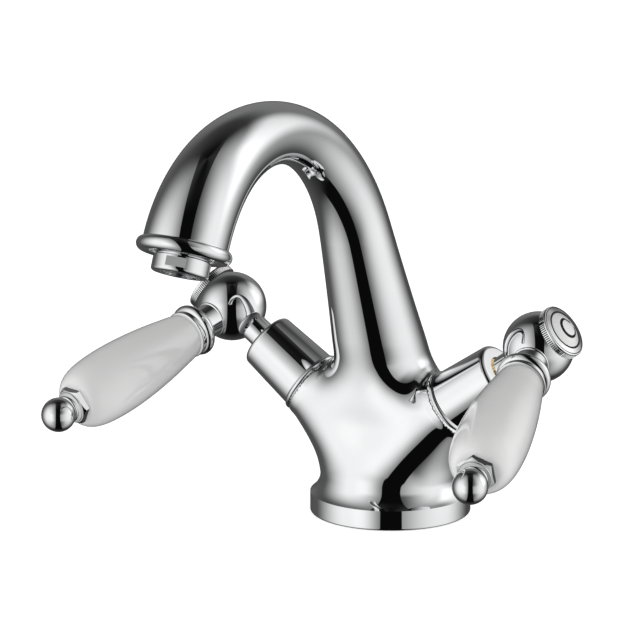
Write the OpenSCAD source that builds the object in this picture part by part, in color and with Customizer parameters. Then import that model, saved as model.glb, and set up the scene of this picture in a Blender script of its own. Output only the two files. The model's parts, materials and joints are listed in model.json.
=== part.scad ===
// Two-lever basin mixer: a swan-neck casting, two quarter-turn valves set at a slant
// and a porcelain lever on each. Millimetres, +Z up. The origin is the centre of the
// underside of the base, the spout points along -Y and the cold valve is on +X.

/* [Base] */
// Radius of the round base
base_r = 29.5; // [28:0.5:32]
// Height of the base's upright rim
rim_h = 7.4; // [6:0.1:8]
// Radius of the waist above the rim
waist_r = 25.7; // [25:0.1:27]

/* [Swan neck] */
// Lean of the column from upright, towards the front
neck_lean = 21; // [18:0.5:24]
// Length of the straight column inside and above the body
neck_straight = 92; // [86:1:96]
// Radius of the first, rising bend
bend_1_r = 71; // [66:1:76]
// Radius of the bend over the top
bend_2_r = 65; // [60:1:70]
// Radius of the bend down to the outlet
bend_3_r = 49; // [45:1:54]
// Radius of the neck where it is thinnest
neck_min_r = 10.6; // [10.4:0.1:11.5]
// Radius of the neck at its outlet
neck_out_r = 14.6; // [14.2:0.1:15.2]
// Radius of the waterway through the neck
waterway_r = 8; // [6:0.1:8.2]

/* [Valves] */
// Slope of each valve's axis above level
valve_tilt = 35.8; // [34:0.1:38]
// How far the valves stand forward of the base's centre
valve_fwd = 6.5; // [5:0.1:8]
// Height at which the two valve axes meet
valve_z = 24.2; // [23:0.1:26]
// Distance along the valve's axis to the middle of the lever's ball
hub_s = 79.3; // [78.5:0.1:80.5]
// Outside radius of the shroud at its bead
shroud_bead_r = 12.7; // [12.6:0.1:13.2]

/* [Levers] */
// Turn of the closed hot lever below forward
hot_rest = 19; // [15:0.1:25]
// Turn of the closed cold lever below forward
cold_rest = 21.8; // [15:0.1:25]
// Radius of the lever's ball
hub_r = 12.8; // [12.5:0.1:13.2]
// Largest radius of the porcelain grip
grip_r = 12.8; // [11.5:0.1:13]
// Distance from the ball's middle to the end ball's middle
finial_t = 93.4; // [93:0.1:95]
// Radius of the end ball
finial_r = 6.2; // [5.8:0.1:6.5]
// Number of teeth on the knurled index ring
knurl_count = 84; // [60:2:100]

/* [Outlet] */
// Outside radius of the aerator
aerator_r = 9.85; // [9.7:0.05:10.2]
// Distance from the outlet bead to the aerator's lower edge
aerator_drop = 8.4; // [8:0.1:9]

/* [Hidden] */
fine = 96;
hot = -1;
cold = 1;
eps = 0.05;

// ---- colours
chrome = [0.80, 0.81, 0.83];
porcelain = [0.96, 0.96, 0.95];
brass = [0.78, 0.66, 0.36];
rubber = [0.12, 0.12, 0.13];
alumina = [0.90, 0.88, 0.84];
plastic = [0.75, 0.77, 0.80];
steel = [0.62, 0.63, 0.65];

// ---- swan neck: a straight column, then three bends in the plane X = 0
neck_start = [7, 24];
bend_1_turn = 30;
bend_2_turn = 56;
bend_3_turn = 51;
neck_angle = [
    neck_lean,
    neck_lean + bend_1_turn,
    neck_lean + bend_1_turn + bend_2_turn,
    neck_lean + bend_1_turn + bend_2_turn + bend_3_turn
];
bend_r = [bend_1_r, bend_2_r, bend_3_r];
bend_turn = [bend_1_turn, bend_2_turn, bend_3_turn];
// Direction of travel, and the direction away from the bend's centre, as [y, z]
function along(a) = [-sin(a), cos(a)];
function outward(a) = [cos(a), sin(a)];
// Start of each bend, and the outlet
bend_1_from = neck_start + neck_straight * along(neck_lean);
function bend_to(from, k) =
    from + bend_r[k] * (outward(neck_angle[k + 1]) - outward(neck_angle[k]));
bend_2_from = bend_to(bend_1_from, 0);
bend_3_from = bend_to(bend_2_from, 1);
outlet_at = bend_to(bend_3_from, 2);
bend_from = [bend_1_from, bend_2_from, bend_3_from];
function bend_len(k) = bend_r[k] * bend_turn[k] * PI / 180;
// Length along the neck at which each stretch starts
bend_1_s = neck_straight;
bend_2_s = bend_1_s + bend_len(0);
bend_3_s = bend_2_s + bend_len(1);
neck_len = bend_3_s + bend_len(2);
bend_s = [bend_1_s, bend_2_s, bend_3_s];
function stretch(s) = s < bend_1_s ? -1 : s < bend_2_s ? 0 : s < bend_3_s ? 1 : 2;
function turn_at(s, k) = neck_angle[k] + (s - bend_s[k]) / bend_r[k] * 180 / PI;
function neck_dir(s) = stretch(s) < 0 ? neck_lean : turn_at(s, stretch(s));
function neck_at(s) =
    stretch(s) < 0
    ? neck_start + s * along(neck_lean)
    : bend_from[stretch(s)]
      + bend_r[stretch(s)] * (outward(neck_dir(s)) - outward(neck_angle[stretch(s)]));
// The neck thins up to thin_s and swells again to the outlet
thin_s = 148;
column_growth = 0.00373;
column_power = 1.6;
function ease(t) = t * t * (3 - 2 * t);
function neck_r(s) =
    s < thin_s
    ? neck_min_r + column_growth * pow(thin_s - s, column_power)
    : neck_min_r + (neck_out_r - neck_min_r) * ease((s - thin_s) / (neck_len - thin_s));
// Below root_s the neck is a bend from upright to the lean, over an upright root that
// widens into the base
root_bend_r = 48;
root_s = (neck_start[0] + root_bend_r * (1 - cos(neck_lean))) / sin(neck_lean);
root_bend_to = neck_start + root_s * along(neck_lean);
root_bend_from = root_bend_to - root_bend_r * (outward(neck_lean) - [1, 0]);
root_z = 15;
root_r = waist_r - 0.15;
root_rings = 6;
root_bend_rings = 3;
neck_rings = 28;
neck_sides = 40;
outlet_angle = neck_angle[3];

// ---- body
waist_top = 16;
waist_foot = 14.7;
inlet_x = 10.5;
inlet_tap_r = 4.5;
inlet_tap_depth = 25;
stud_tap_r = 3.4;
stud_tap_depth = 26;
boss_r = 12.6;
boss_s = 36;
seat_s = 18;
chamber_r = 9.3;
seal_in_r = 24.4;
seal_out_r = 27.4;
seal_h = 1.9;

// ---- outlet, measured along the outflow from the bead's centre
bead_major_r = 13.9;
bead_minor_r = 2.5;
outlet_face = 1.9;
outlet_tap_r = 9.1;
outlet_tap_depth = 8.2;
insert_r = 7.8;

// ---- valve, measured along its axis from where the two axes meet
flange_s = boss_s;
hex_s = 37.2;
hex_top = 43;
hex_af = 17;
barrel_top = 59;
barrel_r = 7.2;
disc_r = 6.5;
guide_s = 42;
spindle_r = 4;
shroud_top = 61.4;
shroud_hole_r = 5.6;
valve_neck_r = 5.2;
valve_neck_from = 61.9;
socket_top = 73;
cap_seat = 9.6;
knurl_top = 11.55;
lip_top = 12.1;
index_r = 10;
plate_r = 9.25;
button_r = 7.4;
button_seat = 12.65;
dome_r = 6.85;
dome_rise = 2;
// Radius of the ball that the button's face is cut from
dome_ball = (dome_r * dome_r + dome_rise * dome_rise) / (2 * dome_rise);

// ---- lever, measured from the ball's middle
neck_from = 11;
neck_drum_r = 6.15;
flange_from = 18.2;
flange_to = 19.2;
ferrule_to = 25.8;
grip_from = 26.3;
grip_to = 84.4;
nut_from = 84.7;
nut_to = 87;
nut_af = 12.4;
rod_r = 2.5;
rod_from = 5.5;
rod_to = 90;

// ---- places
module on_neck_plane(p) {
    translate([0, p[0], p[1]]) children();
}

module on_outlet() {
    on_neck_plane(outlet_at) rotate([outlet_angle, 0, 0]) children();
}

module on_cold_valve() {
    translate([0, -valve_fwd, valve_z]) rotate([0, 90 - valve_tilt, 0]) children();
}

module on_valve(side) {
    if (side < 0) mirror([1, 0, 0]) on_cold_valve() children();
    else on_cold_valve() children();
}

module on_hub(side) {
    on_valve(side)
        translate([0, 0, hub_s])
            rotate([0, 0, side < 0 ? hot_rest : cold_rest])
                children();
}

module on_lever(side) {
    on_hub(side) rotate([90, 0, 0]) children();
}

// ---- small shapes
module tube(r_out, r_in, from, to) {
    translate([0, 0, from]) difference() {
        cylinder(r = r_out, h = to - from, $fn = fine);
        translate([0, 0, -1]) cylinder(r = r_in, h = to - from + 2, $fn = fine);
    }
}

module rod(r, from, to) {
    translate([0, 0, from]) cylinder(r = r, h = to - from, $fn = fine);
}

// A hexagonal prism, given across its flats
module hex(af, from, to) {
    translate([0, 0, from]) cylinder(r = af / sqrt(3), h = to - from, $fn = 6);
}

// A round bead about a shaft: a ring with a half-round edge
module bead(r, half, from) {
    translate([0, 0, from + half]) rotate_extrude($fn = fine) {
        translate([r - half, 0]) circle(r = half, $fn = 32);
        translate([0, -half]) square([r - half, 2 * half]);
    }
}

// Points of a quarter-round corner about a centre, from one angle to another
function corner(cx, cy, r, from, to, n = 6) =
    [for (i = [0:n]) let (a = from + (to - from) * i / n) [cx + r * cos(a), cy + r * sin(a)]];

// ---- the casting
module neck_skin() {
    steps = root_rings + root_bend_rings + neck_rings;
    bend_s = root_s - root_bend_r * neck_lean * PI / 180;
    rise = root_bend_from[1] - root_z;
    // Slope of the radius where the upright root meets the bend
    growth = -column_power * column_growth * pow(thin_s - bend_s, column_power - 1);
    function root_radius(t) =
        root_r + (neck_r(bend_s) - root_r) * ease(t) + growth * rise * t * t * (t - 1);
    function circle_at(p, a, r) =
        [for (j = [0:neck_sides - 1])
            let (u = 360 * j / neck_sides)
            [r * cos(u), p[0] + r * sin(u) * cos(a), p[1] + r * sin(u) * sin(a)]];
    function root_ring(t) =
        circle_at([root_bend_from[0], root_z + rise * t], 0, root_radius(t));
    function bend_ring(t) =
        circle_at(
            root_bend_to + root_bend_r * (outward(neck_lean * t) - outward(neck_lean)),
            neck_lean * t,
            neck_r(bend_s + (root_s - bend_s) * t)
        );
    function neck_ring(s) = circle_at(neck_at(s), neck_dir(s), neck_r(s));
    points = [
        for (i = [0:root_rings - 1]) each root_ring(i / root_rings),
        for (i = [0:root_bend_rings - 1]) each bend_ring(i / root_bend_rings),
        for (i = [0:neck_rings]) each neck_ring(root_s + (neck_len - root_s) * i / neck_rings)
    ];
    function at(i, j) = i * neck_sides + j % neck_sides;
    sides = [for (i = [0:steps - 1], j = [0:neck_sides - 1]) each [
        [at(i, j), at(i + 1, j), at(i + 1, j + 1)],
        [at(i, j), at(i + 1, j + 1), at(i, j + 1)]
    ]];
    foot = [[for (j = [0:neck_sides - 1]) j]];
    head = [[for (j = [neck_sides - 1:-1:0]) at(steps, j)]];
    polyhedron(points = points, faces = concat(sides, foot, head), convexity = 6);
}

// Base disc with a hollow sweep up to the waist
module base_disc() {
    sweep_r = 8.9;
    rotate_extrude($fn = fine) polygon(concat(
        [[0, 0], [base_r - 0.4, 0], [base_r, 0.4]],
        corner(base_r - 0.6, rim_h - 0.6, 0.6, 0, 90),
        corner(waist_r + sweep_r, waist_foot, sweep_r, 230, 180, 10),
        [[waist_r, waist_top], [0, waist_top]]
    ));
}

// One side of the bell: from the waist out to the boss that holds the valve
module branch(side) {
    hull() {
        translate([0, 0, root_z - 0.5]) cylinder(r = waist_r - 0.1, h = 1, $fn = 48);
        on_valve(side) translate([0, 0, boss_s - 2.4]) cylinder(r = boss_r + 0.05, h = 0.6, $fn = 48);
    }
    on_valve(side) rod(boss_r, boss_s - 8, boss_s);
}

module body_bulk() {
    base_disc();
    for (side = [hot, cold]) branch(side);
    neck_skin();
    on_outlet() {
        rotate_extrude($fn = fine) {
            translate([bead_major_r, 0]) circle(r = bead_minor_r, $fn = 32);
        }
        rod(bead_major_r + 0.4, -2, 0.8);
        rod(bead_major_r - 0.6, 0.5, outlet_face);
    }
}

// Round waterway through the column and the three bends. Each stretch is a little
// narrower than the one before it and starts inside that one.
module waterway() {
    overlap = 0.6;
    step = 0.15;
    on_neck_plane(neck_at(14)) rotate([neck_lean, 0, 0])
        cylinder(r = waterway_r, h = neck_straight - 14, $fn = fine);
    for (k = [0:2])
        on_neck_plane(bend_from[k] - bend_r[k] * outward(neck_angle[k]))
            rotate([90, 0, 90])
                rotate([0, 0, neck_angle[k] - overlap])
                    rotate_extrude(angle = bend_turn[k] + overlap, $fn = 180)
                        translate([bend_r[k], 0]) circle(r = waterway_r - step * (k + 1), $fn = fine);
}

module body_hollows() {
    tube(seal_out_r, seal_in_r, -1, seal_h);
    rod(stud_tap_r, -1, stud_tap_depth);
    for (side = [hot, cold]) {
        translate([side * inlet_x, -valve_fwd, 0]) {
            rod(inlet_tap_r, -1, inlet_tap_depth);
            rod(3.6, inlet_tap_depth - 1, inlet_tap_depth + 8);
        }
        on_valve(side) {
            rod(4.4, 12, seat_s + 1);
            rod(chamber_r, seat_s, boss_s + 1);
        }
    }
    waterway();
    // Cross hole that joins both valve chambers to the column
    translate([0, -4, 41]) rotate([0, 90, 0]) cylinder(r = 3.4, h = 30, center = true, $fn = 48);
    on_outlet() {
        rod(outlet_tap_r, -outlet_tap_depth, outlet_face + 1);
        rod(bead_major_r - 2.2, 1.3, outlet_face + 1);
    }
}

module body_casting() {
    color(chrome) difference() {
        body_bulk();
        body_hollows();
    }
}

module base_seal() {
    color(rubber) tube(seal_out_r - 0.1, seal_in_r + 0.1, 0, seal_h);
}

// ---- aerator
module aerator_housing() {
    lip = aerator_drop;
    flat_d = aerator_r - 0.65;
    color(chrome) on_outlet() difference() {
        rotate_extrude($fn = fine) polygon(concat(
            [[7.95, -6], [outlet_tap_r - 0.05, -6], [outlet_tap_r - 0.05, 1.35],
             [aerator_r - 0.45, 1.35], [aerator_r - 0.45, 2.6], [aerator_r, 3]],
            corner(aerator_r - 1, lip - 1, 1, 0, 90),
            [[7.2, lip], [7.2, lip - 0.7], [7.95, lip - 0.7]]
        ));
        for (turn = [160, 340]) rotate([0, 0, turn])
            translate([-5, flat_d, 3.6]) cube([10, 3, 3.2]);
    }
}

module aerator_insert() {
    color(plastic) on_outlet() difference() {
        rod(insert_r, -6, 6.6);
        rod(insert_r - 1.2, 1.5, 7);
        for (k = [0:11]) rotate([0, 0, 30 * k]) translate([5.2, 0, 0]) rod(0.8, -7, 2);
        for (k = [0:5]) rotate([0, 0, 60 * k]) translate([2.7, 0, 0]) rod(0.8, -7, 2);
    }
}

module aerator_screen() {
    pitch = 1.6;
    color(steel) on_outlet() translate([0, 0, 6.8]) {
        tube(insert_r, insert_r - 1, 0, 0.7);
        linear_extrude(height = 0.5) intersection() {
            circle(r = insert_r - 0.5, $fn = fine);
            for (k = [-4:4]) {
                translate([k * pitch - 0.2, -8]) square([0.4, 16]);
                translate([-8, k * pitch - 0.2]) square([16, 0.4]);
            }
        }
    }
}

module aerator_washer() {
    color(rubber) on_outlet() tube(outlet_tap_r - 0.1, 6.4, -8.1, -6.1);
}

// ---- valve, static pieces
module valve_body(side) {
    color(brass) on_valve(side) difference() {
        union() {
            rod(8.6, seat_s + 1.2, 27);
            rod(chamber_r - 0.05, 27, flange_s);
            rod(10.3, flange_s, hex_s);
            hex(hex_af, hex_s, hex_top);
            rod(barrel_r, hex_top, barrel_top);
        }
        rod(disc_r + 0.1, seat_s, guide_s);
        rod(spindle_r + 0.05, guide_s - 1, barrel_top + 1);
        for (turn = [0, 180]) rotate([0, 0, turn]) translate([4, -3.5, 21.6]) cube([8, 7, 4.6]);
    }
}

module seat_seal(side) {
    color(rubber) on_valve(side) tube(8.4, 5, seat_s + 0.05, seat_s + 1.2);
}

module fixed_disc(side) {
    color(alumina) on_valve(side) difference() {
        rod(disc_r, seat_s + 1.2, seat_s + 4.4);
        for (turn = [0, 180]) rotate([0, 0, turn]) translate([3.4, 0, 0])
            rod(1.9, seat_s, seat_s + 5);
    }
}

module shroud(side) {
    color(chrome) on_valve(side) rotate_extrude($fn = fine) polygon(concat(
        [[11.1, boss_s + 0.05], [shroud_bead_r - 0.5, boss_s + 0.05]],
        corner(shroud_bead_r - 0.95, boss_s + 1.1, 0.95, -60, 60),
        [[11.9, 38.6], [10.75, 59.6]],
        corner(8.95, 59.6, 1.8, 0, 90),
        [[shroud_hole_r, shroud_top], [shroud_hole_r, shroud_top - 1.5], [9.1, shroud_top - 1.5],
         [9.3, 55], [barrel_r + 0.05, 54], [barrel_r + 0.05, 47], [9.8, 46], [10.9, 41]]
    ));
}

// ---- valve, turning pieces
module moving_disc(side) {
    // Its ports stand a quarter turn from the fixed disc's while the tap is closed
    shut = 90 - (side < 0 ? hot_rest : cold_rest);
    color(alumina) on_hub(side) translate([0, 0, -hub_s]) difference() {
        rod(disc_r, seat_s + 4.45, seat_s + 7.6);
        for (turn = [shut, shut + 180]) rotate([0, 0, turn]) translate([3.4, 0, 0])
            rod(1.9, seat_s + 4, seat_s + 6.2);
        translate([-8, -1.1, seat_s + 6.4]) cube([16, 2.2, 3]);
    }
}

module spindle(side) {
    teeth = 20;
    color(brass) on_hub(side) translate([0, 0, -hub_s]) difference() {
        union() {
            translate([-4.5, -1.05, seat_s + 6.5]) cube([9, 2.1, 2]);
            rod(disc_r - 0.05, seat_s + 7.7, guide_s - 8);
            rod(spindle_r, guide_s - 8, barrel_top + 0.5);
            translate([0, 0, barrel_top]) linear_extrude(height = socket_top - barrel_top - 0.3)
                polygon([for (i = [0:2 * teeth - 1])
                    let (a = 180 * i / teeth, r = i % 2 == 0 ? 3.9 : 3.5) [r * cos(a), r * sin(a)]]);
        }
        rod(1.6, 62, socket_top + 1);
        for (s = [47, 51.5]) tube(spindle_r + 1, 3, s - 1.05, s + 1.05);
    }
}

module spindle_seals(side) {
    color(rubber) on_hub(side) translate([0, 0, -hub_s])
        for (s = [47, 51.5]) translate([0, 0, s]) rotate_extrude($fn = fine)
            translate([3.5, 0]) circle(r = 0.49, $fn = 24);
}

module hub(side) {
    color(chrome) on_hub(side) difference() {
        union() {
            sphere(r = hub_r, $fn = fine);
            rod(valve_neck_r, valve_neck_from - hub_s, 0);
        }
        rod(3.95, valve_neck_from - hub_s - 1, socket_top - hub_s);
        rod(2.1, socket_top - hub_s - 1, 0);
        rod(4.4, -3.2, 12);
        rod(hub_r + 1, cap_seat, hub_r + 2);
        rod(6.4, 5, hub_r);
        rotate([90, 0, 0]) rod(rod_r, rod_from - 0.5, hub_r + 1);
        rotate([90, 0, 0]) rod(7, neck_from - 0.01, hub_r + 1);
    }
}

module hub_screw(side) {
    color(steel) on_hub(side) difference() {
        union() {
            rod(1.55, -15, -3.1);
            rod(3.6, -3.2, -0.9);
        }
        hex(2.5, -2.2, 0);
    }
}

// Knurled rim of the index, with a round lip, a shallow seam and a sloped plate inside it
module index_ring(side) {
    depth = 0.4;
    color(chrome) on_hub(side) difference() {
        union() {
            translate([0, 0, cap_seat]) linear_extrude(height = knurl_top - cap_seat)
                polygon([for (i = [0:2 * knurl_count - 1])
                    let (a = 180 * i / knurl_count, r = i % 2 == 0 ? index_r : index_r - depth)
                    [r * cos(a), r * sin(a)]]);
            rotate_extrude($fn = fine) polygon(concat(
                [[8, knurl_top - 0.5], [9.5, knurl_top - 0.5], [9.5, knurl_top - 0.15]],
                [[9.9, knurl_top + 0.1]], corner(9.5, lip_top - 0.1, 0.4, 0, 60),
                [[plate_r + 0.15, lip_top + 0.28], [plate_r + 0.1, lip_top]],
                [[plate_r - 0.15, lip_top], [plate_r - 0.2, lip_top + 0.28]],
                [[button_r - 0.2, button_seat + 0.32], [button_r - 0.2, knurl_top - 0.3]]
            ));
        }
        rod(button_r + 0.05, cap_seat - 1, cap_seat + 6);
    }
}

// Letter of the cold index, a crescent with a short arm at its upper end
module cold_mark() {
    linear_extrude(height = 6) {
        difference() {
            circle(r = 3.95, $fn = fine);
            translate([0.15, 0]) circle(r = 3.25, $fn = fine);
            polygon([[0, 0], [9, -1.4], [9, 9], [1.9, 9]]);
        }
        translate([0.72, 3.42]) rotate(-52) square([2.7, 0.6]);
    }
}

// Letter of the hot index, two bars and a link
module hot_mark() {
    for (x = [-3, 2.35]) translate([x, -4, 0]) cube([0.65, 8, 6]);
    translate([-2.7, -0.33, 0]) cube([5.4, 0.66, 6]);
}

// Glazed button: a dome that stands in a dark seam, with its letter sunk a little
module index_cap(side) {
    mark_turn = 90 - (side < 0 ? hot_rest : cold_rest);
    middle = button_seat + 0.3 + dome_rise - dome_ball;
    color(porcelain) on_hub(side) difference() {
        union() {
            rod(6.3, 6, cap_seat + 1);
            rod(button_r, cap_seat + 0.05, button_seat);
            intersection() {
                rod(dome_r, cap_seat + 1, button_seat + 5);
                translate([0, 0, middle]) sphere(r = dome_ball, $fn = fine);
            }
        }
        difference() {
            translate([0, 0, button_seat]) rotate([0, 0, mark_turn]) {
                if (side == cold) cold_mark();
                else hot_mark();
            }
            translate([0, 0, middle]) sphere(r = dome_ball - 0.25, $fn = fine);
        }
        rod(4.8, 5, cap_seat - 0.5);
    }
}

// ---- lever
module lever_neck(side) {
    color(chrome) on_lever(side) rotate_extrude($fn = fine) polygon(concat(
        [[rod_r + 0.05, neck_from]],
        corner(neck_drum_r, neck_from + 0.5, 0.5, -90, 90),
        corner(neck_drum_r + 0.6, flange_from - 0.6, 0.6, 180, 90),
        corner(7.4, flange_from + 0.5, 0.5, -90, 90),
        [[rod_r + 0.05, flange_to]]
    ));
}

module ferrule(side) {
    color(chrome) on_lever(side) difference() {
        union() {
            rod(8.3, flange_to + 0.05, 20);
            bead(9.8, 1.9, 19.4);
            rod(8.6, 20, ferrule_to);
            bead(9, 0.45, ferrule_to - 0.9);
        }
        rod(rod_r + 0.3, 10, 40);
    }
}

// Porcelain grip: slender at the ferrule, fullest past the middle, with a rounded end
module grip(side) {
    start_r = 8.3;
    full_t = 62;
    end_r = 8;
    function r_at(t) = t < full_t
        ? start_r + (grip_r - start_r) * sin(90 * (t - grip_from) / (full_t - grip_from))
        : end_r + (grip_r - end_r) * pow(1 - pow((t - full_t) / (grip_to - full_t), 3.2), 0.55);
    outline = [for (i = [0:30]) let (t = grip_from + (grip_to - grip_from) * i / 30) [r_at(t), t]];
    color(porcelain) on_lever(side) rotate_extrude($fn = fine)
        polygon(concat([[3, grip_from]], outline, [[3, grip_to]]));
}

module grip_washers(side) {
    color(plastic) on_lever(side) {
        tube(7.6, 3, ferrule_to + 0.02, grip_from - 0.02);
        tube(5.8, 3, grip_to + 0.02, nut_from - 0.02);
    }
}

module tie_rod(side) {
    color(steel) on_lever(side) rod(rod_r - 0.05, rod_from, rod_to);
}

module grip_nut(side) {
    color(chrome) on_lever(side) difference() {
        intersection() {
            rotate([0, 0, side < 0 ? 56 : 28]) hex(nut_af, nut_from, nut_to);
            translate([0, 0, nut_from - 3])
                cylinder(r1 = 11.4, r2 = 6.4, h = nut_to - nut_from + 3, $fn = fine);
        }
        rod(rod_r, 80, 90);
    }
}

module finial(side) {
    color(chrome) on_lever(side) difference() {
        union() {
            rod(5.8, nut_to + 0.05, nut_to + 0.5);
            rod(4.4, nut_to + 0.1, 90);
            bead(5, 0.6, 88);
            translate([0, 0, finial_t]) sphere(r = finial_r, $fn = fine);
        }
        rod(rod_r, 80, rod_to + 0.5);
    }
}

body_casting();
base_seal();
aerator_housing();
aerator_insert();
aerator_screen();
aerator_washer();
valve_body(hot);  // hot_valve_body
seat_seal(hot);  // hot_seat_seal
fixed_disc(hot);  // hot_fixed_disc
moving_disc(hot);  // hot_moving_disc
spindle(hot);  // hot_spindle
spindle_seals(hot);  // hot_spindle_seals
shroud(hot);  // hot_shroud
hub(hot);  // hot_hub
hub_screw(hot);  // hot_hub_screw
index_ring(hot);  // hot_index_ring
index_cap(hot);  // hot_index_cap
lever_neck(hot);  // hot_lever_neck
ferrule(hot);  // hot_ferrule
grip(hot);  // hot_grip
grip_washers(hot);  // hot_grip_washers
tie_rod(hot);  // hot_tie_rod
grip_nut(hot);  // hot_grip_nut
finial(hot);  // hot_finial
valve_body(cold);  // cold_valve_body
seat_seal(cold);  // cold_seat_seal
fixed_disc(cold);  // cold_fixed_disc
moving_disc(cold);  // cold_moving_disc
spindle(cold);  // cold_spindle
spindle_seals(cold);  // cold_spindle_seals
shroud(cold);  // cold_shroud
hub(cold);  // cold_hub
hub_screw(cold);  // cold_hub_screw
index_ring(cold);  // cold_index_ring
index_cap(cold);  // cold_index_cap
lever_neck(cold);  // cold_lever_neck
ferrule(cold);  // cold_ferrule
grip(cold);  // cold_grip
grip_washers(cold);  // cold_grip_washers
tie_rod(cold);  // cold_tie_rod
grip_nut(cold);  // cold_grip_nut
finial(cold);  // cold_finial
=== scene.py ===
"""Two-lever basin mixer: polished swan-neck casting, shrouded valves and porcelain levers."""
import json
import math

import bpy
import numpy as np
from mathutils import Matrix, Vector

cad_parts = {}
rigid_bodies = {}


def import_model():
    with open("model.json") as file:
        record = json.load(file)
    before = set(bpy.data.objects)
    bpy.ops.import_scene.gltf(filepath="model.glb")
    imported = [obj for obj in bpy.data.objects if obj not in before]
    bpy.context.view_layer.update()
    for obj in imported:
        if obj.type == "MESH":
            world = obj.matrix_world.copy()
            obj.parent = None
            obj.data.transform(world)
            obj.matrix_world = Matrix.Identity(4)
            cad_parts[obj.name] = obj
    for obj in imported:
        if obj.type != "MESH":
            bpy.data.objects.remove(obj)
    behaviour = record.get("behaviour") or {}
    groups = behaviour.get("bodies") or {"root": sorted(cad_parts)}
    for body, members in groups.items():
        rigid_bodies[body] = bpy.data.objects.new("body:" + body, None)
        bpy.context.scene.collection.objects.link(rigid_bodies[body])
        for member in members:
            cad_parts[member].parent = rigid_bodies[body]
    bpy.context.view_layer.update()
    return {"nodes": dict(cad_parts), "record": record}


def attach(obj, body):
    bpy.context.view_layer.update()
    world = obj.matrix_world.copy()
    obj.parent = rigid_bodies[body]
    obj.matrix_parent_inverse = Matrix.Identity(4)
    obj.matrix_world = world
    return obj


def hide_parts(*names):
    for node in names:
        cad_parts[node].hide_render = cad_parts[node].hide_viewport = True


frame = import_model()
scene = bpy.context.scene

MM = 0.001
SEGMENTS = 160

# ---------------------------------------------------------------- sizes, in millimetres
# Base: its radius, the rim's height, the waist, the hollow sweep between them and how far
# down it is followed. The smooth skin starts at SKIN_FLOOR_Z, inside the rim's piece
BASE_R, RIM_H, WAIST_R, WAIST_Z = 29.5, 7.4, 25.7, 14.7
SWEEP_R, SWEEP_DROP = 8.9, 5.6
SKIN_FLOOR_Z = 9.3
# Swan neck: a bend at its root, a leaning column, then three bends
LEAN = math.radians(21.0)
NECK_START = np.array([7.0, 24.0])
STRAIGHT = 92.0
BEND_R = [71.0, 65.0, 49.0]
BEND_TURN = [math.radians(a) for a in (30.0, 56.0, 51.0)]
ROOT_BEND_R, EASE = 48.0, 20.0
# Its radius falls by a power law to the thinnest place, then grows towards the outlet
NECK_MIN_R, NECK_OUT_R, THIN_S = 10.6, 14.6, 148.0
GROWTH, POWER = 0.00373, 1.6
# Valve axes: their tilt above level, where they meet, and the boss on each shoulder
TILT = math.radians(35.8)
VALVE_O = Vector((0, -6.5, 24.2))
BOSS_R, BOSS_S = 12.6, 36.0
# Hubs: how far out they sit, their ball and stub, the index's seat, and the levers' turn
HUB_S, HUB_R, STUB_R, INDEX_SEAT = 79.3, 12.8, 5.2, 9.6
HOT_REST, COLD_REST = 19.0, 21.8
# Index ring's ribs and the radii of their floors and tops
KNURL_RIBS, KNURL_FLOOR_R, KNURL_R = 84, 9.62, 10.0
# Glazed button, its seat, and the dome's rim, rise and top
BUTTON_R, BUTTON_SEAT = 7.4, 12.65
DOME_R, DOME_RISE, DOME_TOP = 6.85, 2.0, 14.95
# Letters: the C's outer and inner radius and how far the inner circle is moved, and its span
C_OUTER_R, C_INNER_R, C_SHIFT = 4.05, 3.12, 0.15
C_START, C_SPAN = 78, 273
# Grip's outline as (distance from the middle of the ball, radius)
GRIP_STATIONS = [(26.2, 7.9), (26.6, 8.35), (35, 10.0), (45, 11.45), (55, 12.4), (63, 12.78),
                 (70, 12.7), (76, 12.15), (80, 11.2), (82.6, 9.85), (84.0, 8.3), (84.5, 6.4)]
# Hexagonal nut: across its flats, its bore, and where it starts and ends along the lever
NUT_FLATS, NUT_BORE_R, NUT_START, NUT_END = 12.4, 2.6, 84.65, 87.0
# End ball: its radius, its middle along the lever and the neck it grows from
FINIAL_R, FINIAL_T, FINIAL_NECK_R = 6.2, 93.4, 4.4

# ---------------------------------------------------------------- materials
def new_material(name):
    """A material with its node tree and its surface shader."""
    m = bpy.data.materials.new(name)
    m.use_nodes = True
    nt = m.node_tree
    return m, nt, nt.nodes["Principled BSDF"]


def node(nt, kind, **values):
    """A shader node with named sockets or settings filled in."""
    n = nt.nodes.new(kind)
    for k, v in values.items():
        if k in n.inputs:
            n.inputs[k].default_value = v
        else:
            setattr(n, k, v)
    return n


def ramp(nt, source, stops):
    """Colour ramp over a value, from stops of (position, colour)."""
    r = nt.nodes.new("ShaderNodeValToRGB")
    nt.links.new(source, r.inputs["Fac"])
    e = r.color_ramp.elements
    while len(e) < len(stops):
        e.new(0.5)
    for el, (pos, value) in zip(e, stops):
        el.position = pos
        el.color = (*value, 1)
    return r.outputs["Color"]


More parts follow.
